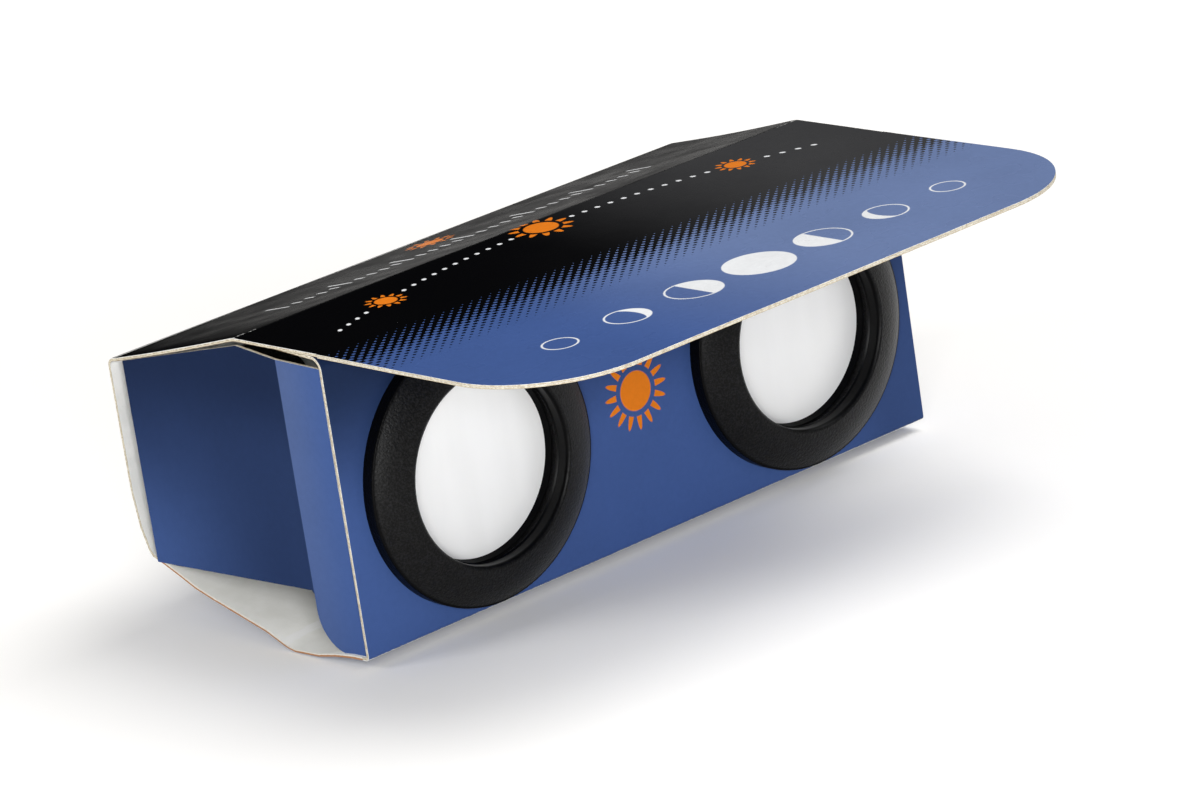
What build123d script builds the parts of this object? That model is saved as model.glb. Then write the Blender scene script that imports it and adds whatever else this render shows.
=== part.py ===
"""Fold-flat card viewer for looking at the sun, with two lens cells at the front and two at the back.

X runs along the width, the lens board faces -Y, +Z is up. The origin is the middle of the
flat section that the viewer stands on. All sizes are in millimetres.
"""
import os
from math import asin, atan2, cos, hypot, sin, sqrt

from build123d import *

os.makedirs("parts", exist_ok=True)

# Driving sizes of the card body
body_width = 116.3        # cut end to cut end
front_height = 47.6       # base to the top face of the top sheet, at the lens board
back_height = 32.8        # height of the eye board
body_depth = 52.2         # face of the lens board to the outer face of the eye board
base_depth = 20.0         # flat section, from the face of the lens board to the crease
card = 0.5                # thickness of one sheet of card
crease_gap = 0.05         # slit that a crease leaves beside its fold line
edge_clearance = 0.3      # upper edge of the lens board under the glued flap
card_corner = 1.0         # rounding of the lens board's corners

# Driving sizes of the hood
hood_length = 49.0        # from the face of the lens board to the hood's front edge
hood_corner = 18.0        # its two rounded front corners
hood_overhang = 0.15      # each side stands out from the cut end of the body
hood_ply = 0.45           # each of its two plies
hood_down_angle = 23.0    # bevel that lets it fold down, in degrees

# Driving sizes of the end flaps
wing_inset = 0.5          # their outer faces, inside the cut ends of the lens board
wing_fold_depth = 11.3    # from the face of the lens board to the fold between the two leaves
wing_lean = 3.8           # the second leaf leans in by this many degrees
wing_clearance = 0.5      # free edges to the panels around them
strip_clearance = 0.2     # the strip's foot over the base
wing_end_clearance = 0.8  # free end to the eye board
wing_shoulder = 1.0       # the strip's upper edge falls by this towards its fold
wing_foot = 10.0          # height of the second leaf's lower corner at the fold
strip_corner = 6.0        # rounding of the strip's lower free corner
root_relief = 1.5         # chamfer beside the strip's root crease

# Driving sizes of the glued flap
flap_end_inset = 0.3      # short of the cut ends
flap_crease_inset = 1.0   # short of the crease
flap_taper = 1.5          # its ends are cut back towards the crease

# Driving sizes of the lens cells
axis_inset = 25.15        # each optical axis, from the cut end of the body
axis_drop = 1.2           # the optical axes lie below mid height
rim_radius = 21.4         # outside of the objective ring
rim_wall = 2.2            # its outer wall stands this far in front of the lens board
rim_height = 4.4          # its lip stands this far in front
rim_dome = 14.0           # radius of the face that crowns from the wall to the lip
rim_edge = 0.3            # rounding of its outer edge
lip_radius = 14.7         # its clear opening
lip_edge = 0.7            # rounding of the opening
lip_depth = 2.1           # from the lip to the ridge in the bore
ridge_height = 0.2        # the ridge stands in from the bore
ridge_width = 0.4
groove_radius = 15.3      # the bore widens behind the ridge
groove_width = 1.4
stop_slope = 0.45         # the film stop narrows by this
stop_radius = 14.35       # smallest radius of the film stop
stop_depth = 0.4          # back of the film stop, behind the face of the lens board
barrel_wall = 1.3
cell_fit = 0.1            # radial clearance between the pieces of a cell
optic_radius = 15.6       # film, spacer and objective lens
film = 0.15               # thickness of the solar film
spacer_width = 1.2        # radial width of the spacer ring
spacer_height = 1.4
objective_curve = 103.0   # radius of both faces of the objective lens
objective_edge = 1.5      # its thickness at the edge
seat_play = 0.04          # axial play of a lens in its cell
cap_wall = 1.3            # wall of the objective retainer
cap_flange = 1.4          # its flange stands out from its wall
cap_flange_height = 1.0
cap_lip = 0.8             # thickness of its inner lip
cap_opening = 14.2        # clear radius of its inner lip
cap_edge = 0.4            # rounding of its rear corner

eye_rim_radius = 13.5     # outside of the eye ring
eye_rim_height = 3.6      # it stands behind the eye board by this
eye_edge = 0.6            # rounding of its edges
eye_opening = 8.6         # clear radius at its lip
eye_lip = 1.5             # thickness of its lip
eye_flare = 0.9           # rounding of the lip towards the eye
eye_optic_radius = 9.4    # eye lens
eye_barrel_wall = 0.8
eye_curve = 51.5          # radius of both hollow faces of the eye lens
eye_retainer_radius = 12.0
eye_retainer_height = 0.8

# Places that follow from them
front_y = -base_depth / 2
liner_y = front_y + card
inner_y = front_y + 2 * card
crease_y = front_y + base_depth
back_y = front_y + body_depth
middle_z = front_height / 2
axis_z = middle_z - axis_drop
axis_x = body_width / 2 - axis_inset
back_top_z = middle_z + back_height / 2
board_top_z = front_height - 2 * card - edge_clearance
liner_foot_z = card + edge_clearance
wing_x = body_width / 2 - wing_inset - card


def across(section_points):
    """A sheet whose section in the YZ plane is extruded over the whole width."""
    with BuildPart() as sheet:
        with BuildSketch(Plane.YZ):
            with BuildLine():
                Polyline(*section_points, close=True)
            make_face()
        extrude(amount=body_width / 2, both=True)
    return sheet.part


def slope_section():
    """Section of the sloping top sheet: inner face from the crease, outer face to the back edge."""
    run = back_y - crease_y
    fall = front_height - card - back_top_z
    reach = hypot(run, fall)
    length = sqrt(reach**2 - card**2)
    angle = atan2(fall, run) + asin(card / reach)
    along = (cos(angle), -sin(angle))
    out = (sin(angle), cos(angle))
    corners = [(crease_gap, 0), (length - crease_gap, 0), (length - crease_gap, card), (crease_gap, card)]
    return [
        (crease_y + s * along[0] + t * out[0], front_height - card + s * along[1] + t * out[1])
        for s, t in corners
    ]


def mirrored_down(section_points):
    """The same section reflected to the underside of the viewer."""
    return [(y, front_height - z) for y, z in section_points]


def save(part, name):
    part.label = name
    export_step(part, f"parts/{name}.step")


# The flat and sloping sheets of the tube
flat_section = [
    (liner_y + crease_gap, front_height - card),
    (crease_y - crease_gap, front_height - card),
    (crease_y - crease_gap, front_height),
    (liner_y + crease_gap, front_height),
]
save(across(flat_section), "top_front_panel")
save(across(slope_section()), "top_back_panel")
save(across(mirrored_down(flat_section)), "bottom_front_panel")
save(across(mirrored_down(slope_section())), "bottom_back_panel")

# The glued flap under the top sheet, with its ends cut back towards the crease
flap_half = body_width / 2 - flap_end_inset
flap_front = liner_y + crease_gap
flap_back = crease_y - flap_crease_inset
with BuildPart() as glue_flap:
    with BuildSketch(Plane.XY.offset(front_height - 2 * card)):
        with BuildLine():
            Polyline(
                (-flap_half, flap_front),
                (flap_half, flap_front),
                (flap_half - flap_taper, flap_back),
                (flap_taper - flap_half, flap_back),
                close=True,
            )
        make_face()
    extrude(amount=card)
save(glue_flap.part, "glue_flap")


def hood(top_z):
    """One ply of the hood, bevelled along the fold line so that it can fold down."""
    rear = liner_y - crease_gap
    front = front_y - hood_length
    width = body_width + 2 * hood_overhang
    with BuildPart() as ply:
        with BuildSketch(Plane.XY.offset(top_z - hood_ply)) as outline:
            with Locations((0, (rear + front) / 2)):
                Rectangle(width, rear - front)
            fillet(outline.vertices().group_by(Axis.Y)[0], radius=hood_corner)
        extrude(amount=hood_ply)
        bevel = Plane(origin=(0, rear, front_height), x_dir=(1, 0, 0), z_dir=(0, 1, 0))
        split(bisect_by=bevel.rotated((-hood_down_angle, 0, 0)), keep=Keep.BOTTOM)
    return ply.part


save(hood(front_height), "hood_sheet")
save(hood(front_height - hood_ply), "hood_backing")

# The lens board and the liner glued behind it, bored for the two objective cells
barrel_radius = optic_radius + cell_fit + barrel_wall


def lens_board(width, face_y, foot_z):
    with BuildPart() as board:
        with BuildSketch(Plane.XZ.offset(-face_y)) as outline:
            with Locations((0, (board_top_z + foot_z) / 2)):
                Rectangle(width, board_top_z - foot_z)
            fillet(outline.vertices(), radius=card_corner)
            with Locations((-axis_x, axis_z), (axis_x, axis_z)):
                Circle(barrel_radius + cell_fit, mode=Mode.SUBTRACT)
        extrude(amount=-card)
    return board.part


save(lens_board(body_width, front_y, 0), "front_panel")
save(lens_board(body_width - 2 * wing_inset, liner_y, liner_foot_z), "front_liner")

# The eye board, bored for the two eye cells
eye_barrel_radius = eye_optic_radius + cell_fit + eye_barrel_wall
with BuildPart() as back_panel:
    with BuildSketch(Plane.XZ.offset(card - back_y)):
        with Locations((0, middle_z)):
            Rectangle(body_width, back_height - 2 * (card + crease_gap))
        with Locations((-axis_x, axis_z), (axis_x, axis_z)):
            Circle(eye_barrel_radius + cell_fit, mode=Mode.SUBTRACT)
    extrude(amount=-card)
save(back_panel.part, "back_panel")

# The end flaps: a strip square to the lens board, then a longer leaf that braces the eye board
strip_top = front_height - 2 * card - wing_clearance
strip_foot = card + strip_clearance
strip_back = front_y + wing_fold_depth
with BuildPart() as left_wing_strip:
    with BuildSketch(Plane.YZ.offset(-wing_x - card)) as outline:
        with BuildLine():
            Polyline(
                (inner_y + crease_gap, strip_foot),
                (strip_back - crease_gap, strip_foot),
                (strip_back - crease_gap, strip_top - wing_shoulder),
                (inner_y + crease_gap + root_relief, strip_top),
                (inner_y + crease_gap, strip_top - root_relief),
                close=True,
            )
        make_face()
        fillet(outline.vertices().group_by(Axis.Y)[0].sort_by(Axis.X)[-1], radius=strip_corner)
    extrude(amount=card)

lean_along = Vector(0, 1, 0).rotate(Axis.Z, -wing_lean)
wing_plane = Plane(
    origin=(-wing_x, strip_back, 0),
    x_dir=lean_along,
    z_dir=lean_along.cross(Vector(0, 0, 1)),
)
wing_reach = (back_y - card - wing_end_clearance - strip_back) / lean_along.Y
to_crease = (crease_y - strip_back) / lean_along.Y
slope_fall = front_height - card - back_top_z
slope_share = slope_fall / (back_y - crease_y)
end_drop = slope_share * (wing_reach - to_crease) * lean_along.Y
leaf_top = front_height - 2 * card - wing_clearance
leaf_end_top = front_height - card - 2 * wing_clearance - end_drop
leaf_end_foot = front_height - leaf_end_top
with BuildPart() as left_wing_panel:
    with BuildSketch(wing_plane):
        with BuildLine():
            Polyline(
                (crease_gap, wing_foot),
                (wing_reach, leaf_end_foot),
                (wing_reach, leaf_end_top),
                (to_crease, leaf_top),
                (crease_gap, leaf_top - wing_shoulder),
                close=True,
            )
        make_face()
    extrude(amount=-card)

with BuildPart() as right_wing_strip:
    mirror(left_wing_strip.part, about=Plane.YZ)
with BuildPart() as right_wing_panel:
    mirror(left_wing_panel.part, about=Plane.YZ)
save(left_wing_strip.part, "left_wing_strip")
save(right_wing_strip.part, "right_wing_strip")
save(left_wing_panel.part, "left_wing_panel")
save(right_wing_panel.part, "right_wing_panel")


def turned(centre_x, datum_y, outline_lines):
    """A round piece turned about an optical axis; its profile is in (radius, depth) from datum_y."""
    with BuildPart() as piece:
        with BuildSketch(Plane(origin=(centre_x, datum_y, axis_z), x_dir=(1, 0, 0), z_dir=(0, 0, 1))):
            with BuildLine():
                outline_lines()
            make_face()
        revolve(axis=Axis((centre_x, datum_y, axis_z), (0, 1, 0)))
    return piece.part


def sagitta(curve, radius):
    return curve - sqrt(curve**2 - radius**2)


film_y = stop_depth
spacer_y = film_y + film
lens_y = spacer_y + spacer_height
lens_back_y = lens_y + objective_edge
barrel_end = lens_back_y + seat_play


def objective_ring_lines():
    seat = optic_radius + cell_fit
    ridge_y = lip_depth - rim_height
    groove_y = ridge_y + ridge_width
    groove_end = groove_y + groove_width
    Polyline((barrel_radius, 0), (rim_radius, 0), (rim_radius, rim_edge - rim_wall))
    RadiusArc((rim_radius, rim_edge - rim_wall), (rim_radius - rim_edge, -rim_wall), rim_edge)
    RadiusArc((rim_radius - rim_edge, -rim_wall), (lip_radius + lip_edge, -rim_height), rim_dome)
    RadiusArc((lip_radius + lip_edge, -rim_height), (lip_radius, lip_edge - rim_height), lip_edge)
    Polyline(
        (lip_radius, lip_edge - rim_height),
        (lip_radius, ridge_y),
        (lip_radius - ridge_height, ridge_y + ridge_width / 2),
        (groove_radius, groove_y),
        (groove_radius, groove_end),
        (stop_radius + stop_slope, groove_end),
        (stop_radius, stop_depth),
        (seat, stop_depth),
        (seat, barrel_end),
        (barrel_radius, barrel_end),
        (barrel_radius, 0),
    )


def film_lines():
    Polyline((0, film_y), (optic_radius, film_y), (optic_radius, spacer_y), (0, spacer_y), close=True)


def spacer_lines():
    inner = optic_radius - spacer_width
    Polyline((inner, spacer_y), (optic_radius, spacer_y), (optic_radius, lens_y), (inner, lens_y), close=True)


def convex_lines():
    half = cap_opening / 2
    crown = sagitta(objective_curve, cap_opening)
    bulge = crown - sagitta(objective_curve, half)
    ThreePointArc((0, lens_y - crown), (half, lens_y - bulge), (cap_opening, lens_y))
    Polyline(
        (cap_opening, lens_y),
        (optic_radius, lens_y),
        (optic_radius, lens_back_y),
        (cap_opening, lens_back_y),
    )
    ThreePointArc((cap_opening, lens_back_y), (half, lens_back_y + bulge), (0, lens_back_y + crown))
    Line((0, lens_back_y + crown), (0, lens_y - crown))


def cap_lines():
    inner = barrel_radius + cell_fit
    outer = inner + cap_wall
    board_y = 2 * card
    end_y = barrel_end + cap_lip
    Polyline(
        (inner, board_y),
        (outer + cap_flange, board_y),
        (outer + cap_flange, board_y + cap_flange_height),
        (outer, board_y + cap_flange_height),
        (outer, end_y - cap_edge),
    )
    RadiusArc((outer, end_y - cap_edge), (outer - cap_edge, end_y), -cap_edge)
    Polyline(
        (outer - cap_edge, end_y),
        (cap_opening, end_y),
        (cap_opening, barrel_end),
        (inner, barrel_end),
        (inner, board_y),
    )


eye_seat_y = eye_rim_height - eye_lip


def eye_ring_lines():
    seat = eye_optic_radius + cell_fit
    rim = eye_rim_radius - eye_edge
    flare = eye_opening + eye_flare
    Polyline(
        (eye_barrel_radius, -card),
        (eye_barrel_radius, 0),
        (eye_rim_radius, 0),
        (eye_rim_radius, eye_rim_height - eye_edge),
    )
    RadiusArc((eye_rim_radius, eye_rim_height - eye_edge), (rim, eye_rim_height), -eye_edge)
    Line((rim, eye_rim_height), (flare, eye_rim_height))
    RadiusArc((flare, eye_rim_height), (eye_opening, eye_rim_height - eye_flare), -eye_flare)
    Polyline(
        (eye_opening, eye_rim_height - eye_flare),
        (eye_opening, eye_seat_y),
        (seat, eye_seat_y),
        (seat, -card),
        (eye_barrel_radius, -card),
    )


def concave_lines():
    half = eye_opening / 2
    front = seat_play - card
    rear = eye_seat_y - seat_play
    dish = sagitta(eye_curve, eye_opening)
    hollow = dish - sagitta(eye_curve, half)
    ThreePointArc((0, front + dish), (half, front + hollow), (eye_opening, front))
    Polyline((eye_opening, front), (eye_optic_radius, front), (eye_optic_radius, rear), (eye_opening, rear))
    ThreePointArc((eye_opening, rear), (half, rear - hollow), (0, rear - dish))
    Line((0, rear - dish), (0, front + dish))


def eye_retainer_lines():
    inner = eye_opening
    Polyline(
        (inner, -card - eye_retainer_height),
        (eye_retainer_radius, -card - eye_retainer_height),
        (eye_retainer_radius, -card),
        (inner, -card),
        close=True,
    )


for side, centre_x in (("left", -axis_x), ("right", axis_x)):
    save(turned(centre_x, front_y, objective_ring_lines), f"{side}_objective_ring")
    save(turned(centre_x, front_y, film_lines), f"{side}_solar_filter")
    save(turned(centre_x, front_y, spacer_lines), f"{side}_filter_spacer")
    save(turned(centre_x, front_y, convex_lines), f"{side}_objective_lens")
    save(turned(centre_x, front_y, cap_lines), f"{side}_objective_retainer")
    save(turned(centre_x, back_y, eye_ring_lines), f"{side}_eye_ring")
    save(turned(centre_x, back_y, concave_lines), f"{side}_eye_lens")
    save(turned(centre_x, back_y, eye_retainer_lines), f"{side}_eye_retainer")
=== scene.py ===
"""The finished look of a fold-flat card viewer for the sun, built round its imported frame."""

from math import pi, radians

import bmesh
import bpy
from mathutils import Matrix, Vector


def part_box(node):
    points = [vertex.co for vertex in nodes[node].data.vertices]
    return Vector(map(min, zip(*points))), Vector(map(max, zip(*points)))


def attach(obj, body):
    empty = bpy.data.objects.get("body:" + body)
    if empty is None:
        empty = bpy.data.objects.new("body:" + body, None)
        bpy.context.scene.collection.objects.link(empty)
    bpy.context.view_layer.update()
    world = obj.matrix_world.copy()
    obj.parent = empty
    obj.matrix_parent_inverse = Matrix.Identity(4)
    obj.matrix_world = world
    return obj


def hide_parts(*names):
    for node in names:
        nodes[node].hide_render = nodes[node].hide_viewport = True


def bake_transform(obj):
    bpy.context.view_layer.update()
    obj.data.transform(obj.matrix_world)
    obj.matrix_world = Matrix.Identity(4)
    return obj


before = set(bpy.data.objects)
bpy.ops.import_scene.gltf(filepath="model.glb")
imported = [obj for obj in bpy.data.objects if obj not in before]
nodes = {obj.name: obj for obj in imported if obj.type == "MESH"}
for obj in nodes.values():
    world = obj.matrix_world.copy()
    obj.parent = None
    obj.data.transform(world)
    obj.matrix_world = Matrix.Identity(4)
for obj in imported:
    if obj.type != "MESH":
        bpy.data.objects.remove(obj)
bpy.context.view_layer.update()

# The studio is a white table that runs into a white room. A broad lamp hangs overhead, a low one
# shines in under the hood, one lights the open left end, and a weak one lays a sheen over the top.
# The camera stands far off in front of the left end, a little above it, and is rolled to one side.
camera_place = (-0.57387, -0.68956, 0.29882)
camera_turn = (72.578, 8.265, -42.408)
camera_lens = 184.73
camera_sensor = 36.0
table_size = 30.0
table_drop = 0.0016
table_white = (0.92, 0.905, 0.88)
glow_reach = (0.16, 0.50)
glow_levels = (0.11, 1.00)
room_light = 0.30
room_gloss = 0.02
lamps = (
    ("overhead_lamp", (0.60, -0.27, 1.22), (0.0, 0.0, 0.0), 1.00, 14.2),
    ("front_lamp", (-0.42, -0.52, 0.17), (0.0, 0.0, 0.02), 0.24, 3.0),
    ("sheen_lamp", (0.299, 0.237, 0.164), (0.055, -0.055, 0.0476), 0.16, 0.006),
    ("end_lamp", (-0.50, 0.22, 0.34), (-0.055, 0.012, 0.01), 0.20, 0.85),
)

bpy.ops.object.camera_add(location=camera_place, rotation=[radians(a) for a in camera_turn])
camera = bpy.context.object
camera.name = "camera"
camera.data.lens = camera_lens
camera.data.sensor_width = camera_sensor
bpy.context.scene.camera = camera
bpy.context.scene.view_settings.view_transform = "Standard"

for name, lamp_place, target, lamp_size, lamp_power in lamps:
    bpy.ops.object.light_add(type="AREA", location=lamp_place)
    lamp = bpy.context.object
    lamp.name = name
    lamp.data.size = lamp_size
    lamp.data.energy = lamp_power
    lamp.rotation_euler = (Vector(target) - Vector(lamp_place)).to_track_quat("-Z", "Y").to_euler()
    lamp.visible_camera = False


def add(tree, kind, settings=None, **inputs):
    """A new node; a socket is given by its name, with _ for a space, and takes a value or a link."""
    made = tree.nodes.new("ShaderNode" + kind)
    for key, value in (settings or {}).items():
        setattr(made, key, value)
    for key, value in inputs.items():
        connect(tree, value, made.inputs[key.replace("_", " ")])
    return made


def connect(tree, value, socket):
    """Links a socket to another, or sets its own value."""
    if isinstance(value, bpy.types.NodeSocket):
        tree.links.new(value, socket)
    else:
        socket.default_value = value


def calc(tree, operation, *values):
    """The result of one step of arithmetic."""
    made = add(tree, "Math", {"operation": operation})
    for value, socket in zip(values, made.inputs):
        connect(tree, value, socket)
    return made.outputs["Value"]


def product(tree, first, *others):
    """Values multiplied together, one after the other."""
    for other in others:
        first = calc(tree, "MULTIPLY", first, other)
    return first


def spread(tree, value, low, high, to_low=0.0, to_high=1.0, smooth=True):
    """Maps a value from one span to another, held at both ends."""
    made = add(tree, "MapRange", {"interpolation_type": "SMOOTHSTEP" if smooth else "LINEAR"})
    for socket, given in zip(made.inputs, (value, low, high, to_low, to_high)):
        connect(tree, given, socket)
    return made.outputs[0]


def seen_directly(tree):
    """1 for camera rays and for rays through glass, which see the white of the room itself."""
    path = add(tree, "LightPath")
    return calc(tree, "MAXIMUM", path.outputs["Is Camera Ray"], path.outputs["Is Transmission Ray"])


room = bpy.data.worlds.new("white_room")
room.use_nodes = True
tree = room.node_tree
tree.nodes.clear()
mirrored = add(tree, "LightPath").outputs["Is Glossy Ray"]
dimmed = product(tree, mirrored, room_gloss - room_light)
shown = product(tree, seen_directly(tree), 1.0 - room_light)
level = calc(tree, "ADD", calc(tree, "ADD", dimmed, shown), room_light)
glow = add(tree, "Background", Color=(1, 1, 1, 1), Strength=level)
add(tree, "OutputWorld", Surface=glow.outputs[0])
bpy.context.scene.world = room

bpy.ops.object.select_all(action="DESELECT")
bpy.ops.mesh.primitive_plane_add(size=table_size, location=(0, 0, -table_drop))
table = bpy.context.object
table.name = "table"
table_top = bpy.data.materials.new("table_white")
table_top.use_nodes = True
tree = table_top.node_tree
tree.nodes.clear()
matt = add(tree, "BsdfDiffuse", Color=(*table_white, 1))
far_off = add(tree, "VectorMath", {"operation": "LENGTH"}, Vector=add(tree, "TexCoord").outputs["Object"])
lift = spread(tree, far_off.outputs["Value"], *glow_reach, *glow_levels)
glow = add(tree, "Emission", Color=(1, 1, 1, 1), Strength=product(tree, seen_directly(tree), lift))
both = add(tree, "AddShader")
tree.links.new(matt.outputs[0], both.inputs[0])
tree.links.new(glow.outputs[0], both.inputs[1])
add(tree, "OutputMaterial", Surface=both.outputs[0])
table.data.materials.append(table_top)

# The lens board is one panel of the die-cut blank, printed blue on coated card. Its upper edge
# curls back into the flap that is glued under the top sheet, and two holes take the lens cells.
board_low, board_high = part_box("front_panel")
ring_low, ring_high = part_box("left_objective_ring")
flap_back_y, flap_top_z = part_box("glue_flap")[1].yz
card = board_high.y - board_low.y
half_width = board_high.x
front_y = board_low.y
top_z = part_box("top_front_panel")[1].z
crease_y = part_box("top_back_panel")[0].y
back_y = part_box("back_panel")[1].y
back_top_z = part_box("back_panel")[1].z + card
axis_x = -(ring_low.x + ring_high.x) / 2
axis_z = (ring_low.z + ring_high.z) / 2
fold_radius = 0.0008
curl_radius = 0.0021
flap_inset = 0.0018
hole_radius = 0.0171
slice_step = 0.004
wave_size = 0.035
smooth_angle = radians(35)

blue_ink = (0.051, 0.098, 0.274)
# Painted shade: a dark blue that darkens the lens board's blue towards its top, under the hood, and towards
# its right end.
painted_shade_blue = (0.012, 0.024, 0.065)
painted_shade_heights = (0.018, 0.044)
painted_shade_right_end = (0.036, 0.052)
painted_shade_right_share = 0.55
orange_ink = (0.76, 0.20, 0.012)
emblem_place = (0.0, 0.0235)
emblem_disc = 0.0031
emblem_rays = (0.0040, 0.0062)
emblem_ray_count = 16
ray_foot = 0.30
ray_softness = 0.06
print_edge = 0.0001
disc_edge = 0.00012
print_rough = 0.42
foot_pale_line_z = 0.0001
foot_pale_line_reach = 0.0005
end_wear_reach = 0.0009
end_wear_level = 0.62
board_wear_share = 0.62
grain_depth = 0.00006
grain_strength = 0.22
fibre_scale = 2600.0
fibre_share = 0.35
mottle_scale = 160.0
rough_drift = 0.22
wide_span = (0.2, 0.8)
middle_span = (0.3, 0.7)
ink_drift_scale = 45.0
ink_drift_tones = (0.94, 1.05)
ink_speck_scale = 900.0
ink_speck_tones = (-0.035, 0.035)
chip_scale = 1500.0
chip_limits = (1.18, 1.32)
cloud_scale = 220.0
fleck_scale = 3200.0
fleck_span = (0.62, 0.8)
fleck_share = 0.5
shake_scale = 1400.0
cut_fibre_scale = 2200.0
cut_fibre_span = (0.40, 0.60)
coat_depths = (0.14, 0.26)
core_depths = (0.50, 0.72)
seam_depths = (0.80, 0.94)
coat_white = (0.78, 0.78, 0.75)
core_tan = (0.38, 0.30, 0.19)
ply_cream = (0.66, 0.61, 0.49)
seam_brown = (0.24, 0.17, 0.10)
bare_grey = (0.79, 0.80, 0.79)
bare_pale = (0.90, 0.90, 0.89)
fleck_grey = (0.55, 0.55, 0.52)


def pick(kind, test):
    """In edit mode, selects only the vertices, edges or faces whose middle passes the test."""
    bpy.ops.mesh.select_mode(type=kind)
    bpy.ops.mesh.select_all(action="DESELECT")
    shape = bmesh.from_edit_mesh(bpy.context.object.data)
    for item in {"VERT": shape.verts, "EDGE": shape.edges, "FACE": shape.faces}[kind]:
        points = [item.co] if kind == "VERT" else [corner.co for corner in item.verts]
        if test(sum(points, Vector()) / len(points)):
            item.select_set(True)
    shape.select_flush_mode()
    bmesh.update_edit_mesh(bpy.context.object.data)


def shift(y, z, x=0.0):
    """Moves what is selected."""
    bpy.ops.transform.translate(value=(x, y, z))


def start_strip(name, half, section):
    """Card across the width: a plane, with one extruded edge for each further (y, z) point."""
    bpy.ops.object.select_all(action="DESELECT")
    bpy.ops.mesh.primitive_plane_add(size=2 * half)
    piece = bpy.context.object
    piece.name = name
    bpy.ops.object.mode_set(mode="EDIT")
    (start_y, start_z), (next_y, next_z) = section[:2]
    pick("VERT", lambda c: c.y < 0)
    shift(start_y + half, start_z)
    pick("VERT", lambda c: abs(c.y - half) < half / 100)
    shift(next_y - half, next_z)
    for (from_y, from_z), (to_y, to_z) in zip(section[1:], section[2:]):
        bpy.ops.mesh.extrude_region_move(
            TRANSFORM_OT_translate={"value": (0, to_y - from_y, to_z - from_z)}
        )
    return piece


def round_edge(y, z, radius, segments):
    """Rounds the fold that runs across the width at a point of the section."""
    reach = radius / 10
    pick("EDGE", lambda c: abs(c.x) < reach and abs(c.y - y) < reach and abs(c.z - z) < reach)
    bpy.ops.mesh.bevel(offset=radius, segments=segments, affect="EDGES")


def slice_sheet(axis, low, high):
    """Evenly spaced cuts across the sheet, so that it can bend between them."""
    count = round((high - low) / slice_step)
    for i in range(1, count):
        place, normal = Vector(), Vector()
        place[axis] = low + (high - low) * i / count
        normal[axis] = 1.0
        bpy.ops.mesh.select_all(action="SELECT")
        bpy.ops.mesh.bisect(plane_co=place, plane_no=normal)


def choose(piece):
    """Selects one piece alone and makes it the active one."""
    bpy.ops.object.select_all(action="DESELECT")
    piece.select_set(True)
    bpy.context.view_layer.objects.active = piece


def apply_all(piece):
    """Applies the modifiers of a piece in their order."""
    choose(piece)
    for modifier in list(piece.modifiers):
        bpy.ops.object.modifier_apply(modifier=modifier.name)


def thicken(piece, thickness, looks, waves=0.0, direction="Z"):
    """Gives a sheet its waviness, its thickness towards the inside and its three finishes."""
    bpy.ops.object.mode_set(mode="OBJECT")
    if waves:
        wave = piece.modifiers.new("waves", "DISPLACE")
        wave.texture = card_waves
        wave.texture_coords = "LOCAL"
        wave.direction = direction
        wave.strength = waves
    inner = piece.vertex_groups.new(name="inner")
    ply = piece.modifiers.new("ply", "SOLIDIFY")
    ply.thickness = thickness
    ply.offset = -1.0
    ply.use_even_offset = True
    ply.shell_vertex_group = inner.name
    ply.material_offset = 1
    ply.material_offset_rim = 2
    for look in looks:
        piece.data.materials.append(look)
    apply_all(piece)


def bore(piece, radius, y):
    """Cuts the two round holes for a pair of lens cells."""
    for x in (-axis_x, axis_x):
        bpy.ops.mesh.primitive_cylinder_add(
            vertices=96, radius=radius, depth=20 * card, location=(x, y, axis_z), rotation=(pi / 2, 0, 0)
        )
        punch = bpy.context.object
        cut = piece.modifiers.new("hole", "BOOLEAN")
        cut.object = punch
        cut.solver = "EXACT"
        apply_all(piece)
        bpy.data.objects.remove(punch)


def settle(piece):
    """Keeps each point's place at rest and its depth in the card, and shades the folds smooth."""
    shape = piece.data
    inner = piece.vertex_groups["inner"].index
    depth = [max([g.weight for g in v.groups if g.group == inner], default=0.0) for v in shape.vertices]
    shape.attributes.new("depth", "FLOAT", "POINT").data.foreach_set("value", depth)
    places = [value for v in shape.vertices for value in v.co]
    shape.attributes.new("rest", "FLOAT_VECTOR", "POINT").data.foreach_set("vector", places)
    piece.vertex_groups.clear()
    choose(piece)
    bpy.ops.object.shade_smooth_by_angle(angle=smooth_angle)


card_waves = bpy.data.textures.new("card_waves", "CLOUDS")
card_waves.noise_scale = wave_size
card_waves.noise_depth = 1


def blank_material(name):
    """A new material without nodes, and its node tree."""
    made = bpy.data.materials.new(name)
    made.use_nodes = True
    made.node_tree.nodes.clear()
    return made, made.node_tree


def surface(tree, **inputs):
    """The finish itself, from its colour, roughness and the like."""
    shader = add(tree, "BsdfPrincipled", **inputs)
    add(tree, "OutputMaterial", Surface=shader.outputs[0])


def mix(tree, share, low, high, blend="MIX"):
    """One colour laid over another by a share."""
    made = add(tree, "Mix", {"data_type": "RGBA", "blend_type": blend})
    for socket, value in ((made.inputs[0], share), (made.inputs[6], low), (made.inputs[7], high)):
        if isinstance(value, tuple) and len(value) == 3:
            value = (*value, 1.0)
        connect(tree, value, socket)
    return made.outputs[2]


def toned(tree, colour, tone):
    """A colour made lighter or darker by a factor."""
    grey = add(tree, "CombineColor", Red=tone, Green=tone, Blue=tone).outputs[0]
    return mix(tree, 1.0, colour, grey, "MULTIPLY")


def noise(tree, place, scale, detail=2.0, rough=0.5):
    """Soft noise with about as many patches a metre as its scale."""
    return add(tree, "TexNoise", Vector=place, Scale=scale, Detail=detail, Roughness=rough).outputs[0]


def past(tree, value, limit, soft=print_edge):
    """1 where a value is past a limit, with a soft edge."""
    return spread(tree, value, limit - soft, limit + soft)


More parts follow.
